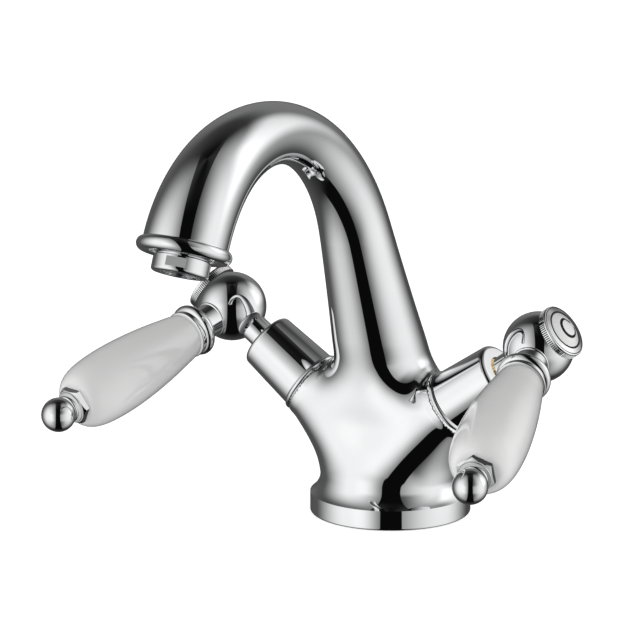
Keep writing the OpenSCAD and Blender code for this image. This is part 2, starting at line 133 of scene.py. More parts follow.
def surface(name, color, other, metallic, rough_lo, rough_hi, scale, bump=0.0, bump_scale=None,
            **sockets):
    """Colour mottled between two close tones, roughness varied by the same noise, fine bump."""
    m, nt, bsdf = new_material(name)
    where = node(nt, "ShaderNodeTexCoord").outputs["Object"]
    noise = node(nt, "ShaderNodeTexNoise", Scale=scale, Detail=4.0)
    nt.links.new(where, noise.inputs["Vector"])
    nt.links.new(ramp(nt, noise.outputs["Fac"], [(0.3, color), (0.7, other)]),
                 bsdf.inputs["Base Color"])
    spread = node(nt, "ShaderNodeMapRange")
    spread.inputs["To Min"].default_value = rough_lo
    spread.inputs["To Max"].default_value = rough_hi
    nt.links.new(noise.outputs["Fac"], spread.inputs["Value"])
    nt.links.new(spread.outputs["Result"], bsdf.inputs["Roughness"])
    bsdf.inputs["Metallic"].default_value = metallic
    if bump:
        grain = node(nt, "ShaderNodeTexNoise", Scale=bump_scale or scale * 4, Detail=3.0)
        nt.links.new(where, grain.inputs["Vector"])
        b = node(nt, "ShaderNodeBump", Strength=bump, Distance=0.00002)
        nt.links.new(grain.outputs["Fac"], b.inputs["Height"])
        nt.links.new(b.outputs["Normal"], bsdf.inputs["Normal"])
    for k, v in sockets.items():
        bsdf.inputs[k.replace("_", " ")].default_value = v
    return m


CHROME = surface("chrome_plate", (0.90, 0.905, 0.915), (0.93, 0.935, 0.94), 1.0,
                 0.015, 0.04, 60.0)
PORCELAIN = surface("glazed_porcelain", (0.86, 0.86, 0.855), (0.88, 0.88, 0.875), 0.0,
                    0.05, 0.11, 90.0, bump=0.06, bump_scale=300.0, IOR=1.52, Coat_Weight=0.6,
                    Coat_Roughness=0.04)
BRASS = surface("turned_brass", (0.70, 0.52, 0.22), (0.78, 0.60, 0.28), 1.0, 0.18, 0.32,
                400.0, bump=0.3)
RUBBER = surface("nitrile_rubber", (0.018, 0.018, 0.020), (0.030, 0.030, 0.032), 0.0,
                 0.55, 0.75, 300.0, bump=0.4)
ALUMINA = surface("lapped_alumina", (0.84, 0.82, 0.77), (0.90, 0.88, 0.84), 0.0, 0.15, 0.25,
                  250.0, bump=0.1)
PLASTIC = surface("moulded_acetal", (0.68, 0.70, 0.73), (0.74, 0.76, 0.79), 0.0, 0.35, 0.5,
                  200.0, bump=0.2)
STEEL = surface("stainless_steel", (0.50, 0.51, 0.52), (0.60, 0.61, 0.62), 1.0, 0.2, 0.34,
                500.0, bump=0.3)
ENAMEL = surface("black_enamel", (0.010, 0.010, 0.011), (0.020, 0.020, 0.022), 0.0, 0.45,
                 0.6, 300.0, bump=0.1, Specular_IOR_Level=0.12)
# Painted shade: dark chrome for the floors of the knurl and in narrow seams, standing in for the
# shade where little light comes back out
PAINTED_SHADE = surface("painted_shade_chrome", (0.05, 0.05, 0.052), (0.09, 0.09, 0.093), 1.0, 0.3, 0.5,
                 300.0)

SLOT_MATERIAL = {"chrome": CHROME, "porcelain": PORCELAIN, "brass": BRASS, "rubber": RUBBER,
                 "alumina": ALUMINA, "plastic": PLASTIC, "steel": STEEL}
for part in frame["record"]["subparts"]:
    mesh = frame["nodes"][part["node"]].data
    mesh.materials.clear()
    mesh.materials.append(SLOT_MATERIAL[part["material_slot"]])


# ---------------------------------------------------------------- mesh helpers
def rounded(points, steps=6):
    """Corners given as (r, z) or (r, z, radius) become a polyline with round corners."""
    out = []
    last = len(points) - 1
    for i, p in enumerate(points):
        radius = p[2] if len(p) > 2 else 0
        here = np.array(p[:2], float)
        if not radius or i in (0, last):
            out.append(tuple(here))
            continue
        a = np.array(points[i - 1][:2], float) - here
        b = np.array(points[i + 1][:2], float) - here
        la, lb = np.linalg.norm(a), np.linalg.norm(b)
        a, b = a / la, b / lb
        half = math.acos(max(-1, min(1, float(a @ b)))) / 2
        if half > math.pi / 2 - 0.02:
            out.append(tuple(here))
            continue
        cut = min(radius / math.tan(half), la * 0.49, lb * 0.49)
        r = cut * math.tan(half)
        centre = here + (a + b) / np.linalg.norm(a + b) * (r / math.sin(half))
        v0, v1 = here + a * cut - centre, here + b * cut - centre
        a0, a1 = math.atan2(v0[1], v0[0]), math.atan2(v1[1], v1[0])
        turn = (a1 - a0 + math.pi) % (2 * math.pi) - math.pi
        for k in range(steps + 1):
            t = a0 + turn * k / steps
            out.append((centre[0] + r * math.cos(t), centre[1] + r * math.sin(t)))
    return out


def arc(cx, cz, r, start, end, steps=24):
    """Points of an arc in the (r, z) plane, angles in degrees."""
    return [(cx + r * math.cos(math.radians(start + (end - start) * k / steps)),
             cz + r * math.sin(math.radians(start + (end - start) * k / steps)))
            for k in range(steps + 1)]


def add_piece(name, mesh, material, body, replaces=()):
    """Link a finished mesh, give it its material, hang it on its body and hide the parts it
    replaces.
    """
    obj = bpy.data.objects.new(name, mesh)
    scene.collection.objects.link(obj)
    mesh.materials.append(material)
    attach(obj, body)
    if replaces:
        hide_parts(*replaces)
    return obj


def build(name, verts, faces, material, body, matrix=None, flip=False, sharp=35,
          replaces=()):
    """A mesh piece in millimetres, put in place in metres. flip mirrors it across x = 0."""
    matrix = matrix or Matrix.Identity(4)
    placed = [(matrix @ Vector(v)) * MM for v in verts]
    if flip:
        placed = [Vector((-v.x, v.y, v.z)) for v in placed]
        faces = [tuple(reversed(f)) for f in faces]
    mesh = bpy.data.meshes.new(name)
    mesh.from_pydata(placed, [], faces)
    mesh.validate()
    mesh.update()
    mesh.shade_smooth()
    mesh.set_sharp_from_angle(angle=math.radians(sharp))
    return add_piece(name, mesh, material, body, replaces)


def lathe_mesh(profile):
    """Verts and faces of a closed profile [(r, z)] turned about Z. Points on the axis merge."""
    verts, rings = [], []
    for r, z in profile:
        if r < 1e-6:
            rings.append([len(verts)])
            verts.append((0, 0, z))
        else:
            rings.append(list(range(len(verts), len(verts) + SEGMENTS)))
            verts += [(r * math.cos(2 * math.pi * k / SEGMENTS),
                       r * math.sin(2 * math.pi * k / SEGMENTS), z) for k in range(SEGMENTS)]
    faces = []
    pairs = list(zip(rings, rings[1:]))
    if len(rings[0]) > 1 and len(rings[-1]) > 1:
        pairs.append((rings[-1], rings[0]))
    for a, b in pairs:
        for k in range(SEGMENTS):
            n = (k + 1) % SEGMENTS
            if len(a) == 1 and len(b) == 1:
                break
            if len(a) == 1:
                faces.append((a[0], b[n], b[k]))
            elif len(b) == 1:
                faces.append((a[k], a[n], b[0]))
            else:
                faces.append((a[k], a[n], b[n], b[k]))
    return verts, faces


def signed_area(profile):
    """Area of a closed profile, positive when it runs anticlockwise."""
    return sum(a[0] * b[1] - b[0] * a[1]
               for a, b in zip(profile, profile[1:] + profile[:1])) / 2


def lathe(name, profile, material, body, slot, matrix=None, flip=False, sharp=35,
          replaces=()):
    """A turned piece from a closed profile [(r, z)], given in either direction."""
    if signed_area(profile) < 0:
        profile = profile[::-1]
    verts, faces = lathe_mesh(profile)
    return build(name, verts, faces, material, body, matrix, flip, sharp, replaces)


# ---------------------------------------------------------------- places
VALVE = Matrix.Translation(VALVE_O) @ Matrix.Rotation(math.pi / 2 - TILT, 4, "Y")


def hub_matrix(rest):
    """Middle of the ball, Z outwards along the valve's axis, turned with the lever at rest."""
    return (VALVE @ Matrix.Translation((0, 0, HUB_S))
            @ Matrix.Rotation(math.radians(rest), 4, "Z"))


def lever_matrix(rest):
    """Middle of the ball, Z along the lever."""
    return hub_matrix(rest) @ Matrix.Rotation(math.pi / 2, 4, "X")


# ---------------------------------------------------------------- the casting's smooth skin
def along(a):
    """Direction of the centre line in (y, z) where it has turned by a from upright."""
    return np.array([-math.sin(a), math.cos(a)])


def outward(a):
    """Direction away from the centre of the bend at the same place."""
    return np.array([math.cos(a), math.sin(a)])


def ease(t):
    """Smooth run from 0 to 1 with level ends."""
    return t * t * (3 - 2 * t)


def step_up(v, lo, hi):
    return ease(np.clip((v - lo) / (hi - lo), 0, 1))


def step_down(v, lo, hi):
    return step_up(-v, -hi, -lo)


# Stretches of the centre line in the plane x = 0: upright root, root bend, column, bends
root_s = (NECK_START[0] + ROOT_BEND_R * (1 - math.cos(LEAN))) / math.sin(LEAN)
bend_top = NECK_START + root_s * along(LEAN)
bend_bottom = bend_top - ROOT_BEND_R * (outward(LEAN) - np.array([1.0, 0.0]))
root_bend_s = root_s - ROOT_BEND_R * LEAN
ARCS = [(bend_top - ROOT_BEND_R * outward(LEAN), ROOT_BEND_R, 0.0, LEAN, root_bend_s)]
point, angle, s_at = NECK_START + STRAIGHT * along(LEAN), LEAN, STRAIGHT
for r, turn in zip(BEND_R, BEND_TURN):
    centre = point - r * outward(angle)
    ARCS.append((centre, r, angle, angle + turn, s_at))
    point = centre + r * outward(angle + turn)
    angle, s_at = angle + turn, s_at + r * turn
OUTLET, OUTLET_ANGLE, NECK_LEN = point, angle, s_at


def neck_r(s):
    """Radius of the neck at the distance s along it."""
    up = NECK_MIN_R + GROWTH * np.maximum(THIN_S - s, 0) ** POWER
    down = NECK_MIN_R + (NECK_OUT_R - NECK_MIN_R) * step_up(s, THIN_S, NECK_LEN)
    return np.where(s < THIN_S, up, down)


def root_r(z):
    """Radius of the upright root: the hollow sweep, the waist, then in to the column."""
    dz = np.clip(WAIST_Z - z, 0, SWEEP_DROP)
    sweep = WAIST_R + SWEEP_R - np.sqrt(SWEEP_R ** 2 - dz ** 2)
    rise = bend_bottom[1] - WAIST_Z
    t = np.clip((z - WAIST_Z) / rise, 0, 1)
    slope = -POWER * GROWTH * (THIN_S - root_bend_s) ** (POWER - 1)
    end = float(neck_r(root_bend_s))
    above = WAIST_R + (end - WAIST_R) * ease(t) + slope * rise * t * t * (t - 1)
    return np.where(z < WAIST_Z, sweep, above)


# Sideways shift of the centre line that lets each bend ease into the next
table_s = np.linspace(-60.0, NECK_LEN + 40.0, 6001)
table_ds = table_s[1] - table_s[0]
curvature = np.zeros_like(table_s)
for _, r, a0, a1, s0 in ARCS:
    curvature[(table_s >= s0) & (table_s < s0 + r * (a1 - a0))] = 1 / r
curvature[table_s >= NECK_LEN] = 1 / BEND_R[-1]
taps = np.hanning(int(EASE / table_ds) | 1)
pad = len(taps) // 2
eased = np.convolve(np.pad(curvature, pad, mode="edge"), taps / taps.sum(), mode="valid")
SHIFT = np.cumsum(np.cumsum(curvature - eased)) * table_ds ** 2


def neck_field(p):
    """Distance outside the upright root and the neck, negative inside."""
    x, y, z = p[:, 0], p[:, 1], p[:, 2]
    yz = p[:, 1:]
    top = bend_bottom[1]
    # Upright root, then the nearest of the column and the bends
    s = root_bend_s + (z - top)
    near = np.where(z <= top, np.abs(y), np.hypot(y, z - top))
    side = np.sign(y) * near
    q = yz - NECK_START
    column_s = np.clip(q @ along(LEAN), root_s, STRAIGHT)
    gap = yz - (NECK_START + column_s[:, None] * along(LEAN))
    d = np.hypot(gap[:, 0], gap[:, 1])
    pick = d < near
    near = np.where(pick, d, near)
    side = np.where(pick, np.sign(gap @ outward(LEAN)) * d, side)
    s = np.where(pick, column_s, s)
    for centre, r, a0, a1, s0 in ARCS:
        q = yz - centre
        a = np.clip(np.arctan2(q[:, 1], q[:, 0]), a0, a1)
        ray = np.stack([np.cos(a), np.sin(a)], 1)
        gap = q - r * ray
        d = np.hypot(gap[:, 0], gap[:, 1])
        pick = d < near
        near = np.where(pick, d, near)
        side = np.where(pick, np.sign((gap * ray).sum(1)) * d, side)
        s = np.where(pick, s0 + r * (a - a0), s)
    radius = np.where(s < root_bend_s, root_r(np.minimum(z, top)), neck_r(s))
    return np.hypot(x, side - np.interp(s, table_s, SHIFT)) - radius


# Each shoulder sweeps the waist's circle round a pivot into the valve's boss. HORN_POWER sets
# how its radius falls, HORN_FULL moves it towards the pivot halfway, and CROTCH rounds the
# join above
TURN = math.pi / 2 - TILT
PIVOT_Z = 14.0
PIVOT_X = (BOSS_S - (PIVOT_Z - VALVE_O.z) * math.sin(TILT)) / math.cos(TILT)
boss_x = BOSS_S * math.cos(TILT)
boss_z = VALVE_O.z + BOSS_S * math.sin(TILT)
BOSS_RHO = math.hypot(PIVOT_X - boss_x, boss_z - PIVOT_Z)
HORN_POWER, HORN_FULL, CROTCH = 1.2, 1.6, 16.0


def shoulder(p, sign, capped=True):
    """Distance outside the shoulder on one side, cut flat at the boss's face if capped."""
    x, y, z = sign * p[:, 0], p[:, 1], p[:, 2]
    dx, dz = PIVOT_X - x, z - PIVOT_Z
    t = np.clip(np.arctan2(dz, np.maximum(dx, 1e-3)) / TURN, 0, 1)
    r = BOSS_R + (WAIST_R - BOSS_R) * (1 - t) ** HORN_POWER
    low = (PIVOT_X - WAIST_R) * (1 - t) + (BOSS_RHO - BOSS_R) * t
    low = low - HORN_FULL * np.sin(math.pi * t)
    yc = VALVE_O.y * ease(t)
    body = np.hypot(np.hypot(dx, dz) - low - r, y - yc) - r
    body = np.where(z < PIVOT_Z, np.hypot(x, y) - WAIST_R, body)
    # Past the boss's face the shoulder is a straight cylinder about the valve's axis
    s = x * math.cos(TILT) + (z - VALVE_O.z) * math.sin(TILT)
    off = x * math.sin(TILT) - (z - VALVE_O.z) * math.cos(TILT)
    straight = np.hypot(off, y - VALVE_O.y) - BOSS_R
    body = np.where((s > BOSS_S) | (dx <= 0), straight, body)
    return np.maximum(body, s - BOSS_S) if capped else body


def melt(a, b, k):
    """The lower of two fields, rounded over a width k where they meet."""
    h = np.clip(0.5 + 0.5 * (b - a) / k, 0, 1)
    return b * (1 - h) + a * h - k * h * (1 - h)


def body_field(p, capped=True):
    """The neck and both shoulders, rounded together above the valves."""
    s = np.abs(p[:, 0]) * math.cos(TILT) + (p[:, 2] - VALVE_O.z) * math.sin(TILT)
    wide = 0.1 + CROTCH * step_up(p[:, 2], 30, 46) * step_down(s, 28, 37)
    sides = np.minimum(shoulder(p, 1, capped), shoulder(p, -1, capped))
    return melt(neck_field(p), sides, wide)


def grid_values(field, lo, hi, step):
    """The field at every corner of a grid."""
    axes = [np.arange(lo[i], hi[i] + step, step) for i in range(3)]
    values = np.empty([len(a) for a in axes])
    yy, zz = np.meshgrid(axes[1], axes[2], indexing="ij")
    for i, xv in enumerate(axes[0]):
        pts = np.stack([np.full(yy.size, xv), yy.ravel(), zz.ravel()], 1)
        values[i] = field(pts).reshape(yy.shape)
    return values


def blurred(field, lo, hi, step, sigma):
    """The field on a grid, blurred by a round Gaussian."""
    values = grid_values(field, lo, hi, step)
    half = int(3 * sigma / step)
    weight = np.exp(-0.5 * (np.arange(-half, half + 1) * step / sigma) ** 2)
    weight /= weight.sum()
    for axis in range(3):
        wide = np.pad(values, [(half, half) if k == axis else (0, 0) for k in range(3)],
                      mode="edge")
        total = np.zeros_like(values)
        for k, w in enumerate(weight):
            take = [slice(None)] * 3
            take[axis] = slice(k, k + values.shape[axis])
            total += w * wide[tuple(take)]
        values = total
    return values


def spline_taps(t):
    """Weights of the four nearest grid values in a cubic B-spline."""
    return [(1 - t) ** 3 / 6, (3 * t ** 3 - 6 * t ** 2 + 4) / 6,
            (-3 * t ** 3 + 3 * t ** 2 + 3 * t + 1) / 6, t ** 3 / 6]


def sample(values, lo, step, p):
    """Smooth value of a gridded field at the points p."""
    g = (p - lo) / step
    i = np.clip(np.floor(g).astype(int), 1, np.array(values.shape) - 3)
    t = g - i
    wx, wy, wz = (spline_taps(t[:, k]) for k in range(3))
    total = np.zeros(len(p))
    for a in range(4):
        for b in range(4):
            for c in range(4):
                total += (wx[a] * wy[b] * wz[c]
                          * values[i[:, 0] + a - 1, i[:, 1] + b - 1, i[:, 2] + c - 1])
    return total


BELL_LO, BELL_HI = np.array([-46.0, -40.0, 2.0]), np.array([46.0, 38.0, 76.0])
BELL_STEP, BELL_BLUR, BELL_EDGE = 1.0, 3.4, 2.5
BELL = blurred(lambda p: body_field(p, False), BELL_LO, BELL_HI, BELL_STEP, BELL_BLUR)


def smooth_body(p):
    """The casting's skin, with the bell's joins melted together."""
    x, z = np.abs(p[:, 0]), p[:, 2]
    s = x * math.cos(TILT) + (z - VALVE_O.z) * math.sin(TILT)
    hard = body_field(p)
    # The blur fades out at the waist, up the column and at the bosses, which stay crisp
    share = step_up(z, 13.5, 21.0) * step_down(z, 56.0, 68.0)
    column = step_down(np.hypot(p[:, 0], p[:, 1] + 8), 19.0, 24.0)
    share = share * np.maximum(step_down(s, 32.5, 35.8), column * step_up(z, 40, 46))
    use = (share > 0) & (p > BELL_LO + BELL_EDGE).all(1) & (p < BELL_HI - BELL_EDGE).all(1)
    out = hard.copy()
    if use.any():
        soft = sample(BELL, BELL_LO, BELL_STEP, p[use])
        out[use] = hard[use] * (1 - share[use]) + share[use] * soft
    return out


def gradient(field, p, step=0.05):
    """Slope of the field by central differences."""
    g = np.empty_like(p)
    for i in range(3):
        d = np.zeros(3)
        d[i] = step
        g[:, i] = (field(p + d) - field(p - d)) / (2 * step)
    return g


def grid_skin(field, lo, hi, step):
    """Closed quad skin of field < 0 on a grid, one vertex per crossed cell (surface nets)."""
    inside = grid_values(field, lo, hi, step) < 0
    shape = inside.shape
    corners = sum(np.roll(np.roll(np.roll(inside, -a, 0), -b, 1), -c, 2).astype(int)
                  for a in (0, 1) for b in (0, 1) for c in (0, 1))
    active = (corners > 0) & (corners < 8)
    active[-1], active[:, -1], active[:, :, -1] = False, False, False
    index = -np.ones(shape, int)
    cells = np.argwhere(active)
    index[tuple(cells.T)] = np.arange(len(cells))
    verts = (cells + 0.5) * step + np.array(lo)
    faces = []
    for axis in range(3):
        u, v = (axis + 1) % 3, (axis + 2) % 3
        where = np.argwhere(inside != np.roll(inside, -1, axis))
        keep = (where[:, u] > 0) & (where[:, v] > 0) & (where[:, axis] < shape[axis] - 1)
        where = where[keep]
        du, dv = np.zeros(3, int), np.zeros(3, int)
        du[u], dv[v] = 1, 1
        quad = np.stack([index[tuple((where - du - dv).T)], index[tuple((where - dv).T)],
                         index[tuple(where.T)], index[tuple((where - du).T)]], 1)
        out = inside[tuple(where.T)]
        faces.append(np.where(out[:, None], quad, quad[:, ::-1]))
    return verts, np.concatenate(faces)


def casting_field(p):
    """The skin, ended flat at the outlet bead and just inside the base's rim."""
    end = (p[:, 1:] - OUTLET) @ along(OUTLET_ANGLE)
    at_outlet = (p[:, 1] < -100) & (end > -20)
    d = np.maximum(smooth_body(p), np.where(at_outlet, end, -1e3))
    return np.maximum(d, SKIN_FLOOR_Z - p[:, 2])


SKIN_LO, SKIN_HI = np.array([-40.0, -158.0, 7.5]), np.array([40.0, 34.0, 170.0])
SKIN_STEP, SKIN_ROUNDS = 0.9, 10


def casting_mesh():
    """Quads on the skin, every vertex settled on it with even spacing along it."""
    verts, faces = grid_skin(casting_field, SKIN_LO, SKIN_HI, SKIN_STEP)
    edges = np.concatenate([faces[:, [k, (k + 1) % 4]] for k in range(4)])
    count = np.bincount(edges.ravel(), minlength=len(verts))[:, None]
    for turn in range(SKIN_ROUNDS):
        near = np.zeros_like(verts)
        np.add.at(near, edges[:, 0], verts[edges[:, 1]])
        np.add.at(near, edges[:, 1], verts[edges[:, 0]])
        # The last rounds only settle the vertices on the skin
        if turn < SKIN_ROUNDS - 3:
            verts = verts * 0.4 + near / count * 0.6
        for _ in range(2 if turn < SKIN_ROUNDS - 1 else 4):
            d = casting_field(verts)
            g = gradient(casting_field, verts)
            verts = verts - g * (d / np.maximum((g * g).sum(1), 0.2))[:, None]
    return verts, faces


def body_skin():
    """The casting's polished skin, shaded by the field's own slope."""
    verts, faces = casting_mesh()
    g = gradient(casting_field, verts, 0.15)
    normals = g / np.linalg.norm(g, axis=1)[:, None]
    mesh = bpy.data.meshes.new("body_skin")
    mesh.from_pydata((verts * MM).tolist(), [], faces.tolist())
    mesh.update()
    mesh.shade_smooth()
    mesh.normals_split_custom_set_from_vertices(normals.tolist())
    add_piece("body_skin", mesh, CHROME, "tap", ["body_casting"])


body_skin()

# Base rim with its hollow sweep, which lies PROUD of the skin where they meet
PROUD = 0.04
lathe("base_rim", rounded([(27.4, 0), (BASE_R, 0, 0.8), (BASE_R, RIM_H, 1.2)], 10)
      + arc(WAIST_R + SWEEP_R + PROUD, WAIST_Z, SWEEP_R, 230, 208, 15)
      + [(25, 10.4), (24.4, 10.0), (24.4, 1.9), (27.4, 1.9)],
      CHROME, "tap", "chrome")

# Outlet bead and the step below it
OUTLET_M = (Matrix.Translation((0, OUTLET[0], OUTLET[1]))
            @ Matrix.Rotation(OUTLET_ANGLE, 4, "X"))
lathe("outlet_bead", [(11, -1.6), (13.0, -2.2)] + arc(13.9, 0, 2.5, -108, 78, 40)
      + rounded([(13.3, 1.95, 0.3), (11.8, 1.95, 0.3), (11.6, 1.3)], 4) + [(11, 1.3)],
      CHROME, "tap", "chrome", OUTLET_M)

# ---------------------------------------------------------------- valve and lever dressing
def spline(stations, count):
    """Smooth curve through stations, a centripetal Catmull-Rom."""
    p = np.array(stations, float)
    p = np.vstack([2 * p[0] - p[1], p, 2 * p[-1] - p[-2]])
    out = []
    for i in range(1, len(p) - 2):
        t = [0.0]
        for k in range(3):
            t.append(t[-1] + math.sqrt(np.linalg.norm(p[i + k] - p[i + k - 1])))
        for u in np.linspace(t[1], t[2], count, endpoint=i == len(p) - 3):
            a = [(t[k + 1] - u) / (t[k + 1] - t[k]) * p[i - 1 + k]
                 + (u - t[k]) / (t[k + 1] - t[k]) * p[i + k] for k in range(3)]
            b = [(t[k + 2] - u) / (t[k + 2] - t[k]) * a[k]
                 + (u - t[k]) / (t[k + 2] - t[k]) * a[k + 1] for k in range(2)]
            out.append((t[2] - u) / (t[2] - t[1]) * b[0] + (u - t[1]) / (t[2] - t[1]) * b[1])
    return [tuple(q) for q in out]


GRIP = spline(GRIP_STATIONS, 8)
DOME_BALL = (DOME_R ** 2 + DOME_RISE ** 2) / (2 * DOME_RISE)
DOME_MID = DOME_TOP - DOME_BALL


def side_pieces(side, rest):
    """All dressing of one side. Profiles are (radius, height) about the axis they turn on."""
    flip = side == "hot"
    hub, lever = hub_matrix(rest), lever_matrix(rest)
    moving = side + "_lever"

    def piece(name, profile, body, matrix, node, material=CHROME, slot="chrome", **kw):
        return lathe(f"{side}_{name}", profile, material, body, slot, matrix, flip,
                     replaces=[f"{side}_{node}"], **kw)

    # Shroud with the bead at its foot and a round shoulder at its mouth
    piece("shroud_shell",
          [(9.3, 36.05), (11.9, 36.08)] + arc(11.65, 37.15, 1.05, -70, 62, 20)
          + rounded([(11.9, 38.35, 0.2), (10.72, 61.35, 1.9), (5.6, 61.4, 0.25), (5.6, 60)], 14)
          + [(9.0, 60), (9.3, 55)],
          "tap", VALVE, "shroud")
    # Ball, cut flat for the index, with the stub that meets the spindle
    edge = math.degrees(math.asin(INDEX_SEAT / HUB_R))
    low = -math.degrees(math.acos(STUB_R / HUB_R))
    stub_top = HUB_R * math.sin(math.radians(low))
    piece("hub_ball",
          rounded([(3.95, -17.4), (STUB_R, -17.4, 0.35), (STUB_R, stub_top)])
          + arc(0, 0, HUB_R, low, edge, 72) + [(6.4, INDEX_SEAT), (6.4, 5), (3.95, 5)],
          moving, hub, "hub")
    # Collar between two beads
    piece("neck_collar",
          [(2.6, 10.95), (6.1, 10.95)] + arc(6.15, 11.5, 0.5, -85, 80, 12)
          + rounded([(6.15, 12.05, 0.1), (6.1, 18.2, 0.7), (7.45, 18.25)], 8)
          + arc(7.45, 18.72, 0.47, -88, 88, 12) + [(2.6, 19.2)],
          moving, lever, "lever_neck")
    # Fat bead, a short cylinder and a thin bead against the porcelain
    piece("ferrule_bead",
          [(2.8, 19.22), (7.9, 19.22), (7.95, 19.4)] + arc(7.95, 21.3, 1.88, -86, 86, 30)
          + rounded([(8.35, 23.3, 0.2), (8.6, 23.5, 0.15), (8.62, 24.75, 0.1)])
          + arc(8.55, 25.35, 0.45, -88, 88, 12)
          + [(8.0, 25.85), (2.8, 25.85)],
          moving, lever, "ferrule")
    piece("porcelain_grip",
          [(3, 26.2), (7.9, 26.2)] + [(r, t) for t, r in GRIP] + [(3, GRIP[-1][0])],
          moving, lever, "grip", PORCELAIN, "porcelain", sharp=60)
    index_pieces(side, moving, hub, flip, rest)
    nut_mesh(side, moving, lever, flip)
    # End ball on a thin flange and a bead
    neck_turn = math.degrees(math.acos(FINIAL_NECK_R / FINIAL_R))
    piece("finial_ball",
          [(2.5, 87.02)] + rounded([(5.7, 87.02), (5.85, 87.2, 0.12), (5.7, 87.5, 0.15),
                                    (4.45, 87.55, 0.1), (FINIAL_NECK_R, 88.0)])
          + arc(FINIAL_NECK_R, 88.6, 0.6, -80, 80, 14)
          + arc(0, FINIAL_T, FINIAL_R, -neck_turn, 89.9, 60)
          + [(0, 99.6), (0, 90.5), (2.5, 90.5)],
          moving, lever, "finial")


def index_pieces(side, body, hub, flip, rest):
    """Knurled ring, glazed domed button in a black seam, and the letter in black enamel."""
    knurled_ring(side, body, hub, flip)
    start = math.degrees(math.acos(DOME_R / DOME_BALL))
    lathe(f"{side}_index_face",
          [(0, 10), (BUTTON_R, 10), (BUTTON_R, BUTTON_SEAT), (DOME_R, BUTTON_SEAT), (DOME_R, 12.9)]
          + arc(0, DOME_MID, DOME_BALL, start + 0.4, 89.9, 28) + [(0, DOME_TOP)],
          PORCELAIN, body, "porcelain", hub, flip, replaces=[f"{side}_index_cap"])
    lathe(f"{side}_index_seam", [(6.78, 12.6), (7.5, 12.6), (7.5, 12.96), (6.78, 12.96)],
          ENAMEL, body, "porcelain", hub, flip)
    # The letter stands upright in the lever's rest position
    upright = hub @ Matrix.Rotation(math.radians(90 - rest), 4, "Z")
    for k, (right, left) in enumerate(letter_strokes(side)):
        strip(f"{side}_letter_{k}", right, left, upright, body, flip)


def ring_faces(rows, n):
    """Quads between rows of n points each, every row a ring, the last joined to the first."""
    return [(i * n + k, i * n + (k + 1) % n, (i + 1) % rows * n + (k + 1) % n,
             (i + 1) % rows * n + k) for i in range(rows) for k in range(n)]


def knurled_ring(side, body, hub, flip):
    """Ring with straight ribs, a round lip, a seam inside it and a sloped plate."""
    angles, radii = [], []
    for k in range(KNURL_RIBS):
        for part_way, r in ((0.0, KNURL_FLOOR_R), (0.44, KNURL_FLOOR_R), (0.5, KNURL_R),
                            (0.94, KNURL_R)):
            angles.append(2 * math.pi * (k + part_way) / KNURL_RIBS)
            radii.append(r)
    n = len(angles)
    # Rows of (radius, height) from the foot over the lip to the bore. None follows the ribs
    ribs = [(None, 9.62), (None, 11.5)]
    lip = [(9.9, 11.58), (9.92, 12.0), (9.84, 12.2), (9.66, 12.36), (9.42, 12.42)]
    seam = [(9.34, 12.1), (9.12, 12.1), (9.04, 12.42)]
    plate = [(7.52, 12.92), (7.46, 12.86), (7.46, 9.62)]
    rows = ribs + lip + seam + plate
    verts = [((row_r or r) * math.cos(a), (row_r or r) * math.sin(a), z)
             for row_r, z in rows for r, a in zip(radii, angles)]
    ring = build(f"{side}_knurled_ring", verts, ring_faces(len(rows), n), CHROME, body,
                 hub, flip, 25, [f"{side}_index_ring"])
    # Painted shade: the floors between the ribs and the seam inside the lip get the dark chrome,
    # standing in for the shade in them
    ring.data.materials.append(PAINTED_SHADE)
    seam_start = len(ribs + lip) - 1
    for poly in ring.data.polygons:
        row, k = divmod(poly.index, n)
        between_ribs = row == 0 and k % 4 == 0
        if between_ribs or seam_start <= row < seam_start + len(seam):
            poly.material_index = 1


def letter_strokes(side):
    """Strokes of the C or the H, each as matching points along its right and left edge."""
    if side == "hot":
        return [bar((-2.35, -4), 90, 8, 0.65), bar((3.0, -4), 90, 8, 0.65),
                bar((-2.35, -0.33), 0, 4.7, 0.66)]
    # The C is a crescent between two circles, with a short arm at its upper end
    rays = [math.radians(C_START + C_SPAN * k / 60) for k in range(61)]
    outer = [(C_OUTER_R * math.cos(a), C_OUTER_R * math.sin(a)) for a in rays]
    inner = []
    for a in rays:
        r = C_SHIFT * math.cos(a) + math.sqrt(C_INNER_R ** 2 - (C_SHIFT * math.sin(a)) ** 2)
        inner.append((r * math.cos(a), r * math.sin(a)))
    return [(outer, inner), bar((0.62, 3.36), -52, 2.9, 0.78)]


def bar(start, turn, length, width, count=12):
    """Matching points along the right and left edge of a straight stroke."""
    c, s = math.cos(math.radians(turn)), math.sin(math.radians(turn))
    right = [(start[0] + c * length * k / count, start[1] + s * length * k / count)
             for k in range(count + 1)]
    return right, [(x - s * width, y + c * width) for x, y in right]


def strip(name, right, left, matrix, body, flip):
    """A thin solid band between two matching rows of points, laid on the button's dome."""
    def dome(x, y):
        return DOME_MID + math.sqrt(DOME_BALL ** 2 - x * x - y * y)

    n = len(right)
    verts = [(x, y, dome(x, y) + lift) for lift in (-0.15, 0.03) for row in (right, left)
             for x, y in row]
    faces = []
    for k in range(n - 1):
        faces += [(k, k + 1, 2 * n + k + 1, 2 * n + k),
                  (n + k + 1, n + k, 3 * n + k, 3 * n + k + 1),
                  (2 * n + k, 2 * n + k + 1, 3 * n + k + 1, 3 * n + k),
                  (k + 1, k, n + k, n + k + 1)]
    faces += [(0, 2 * n, 3 * n, n), (n - 1, 2 * n - 1, 4 * n - 1, 3 * n - 1)]
    build(name, verts, faces, ENAMEL, body, matrix, flip, 25)


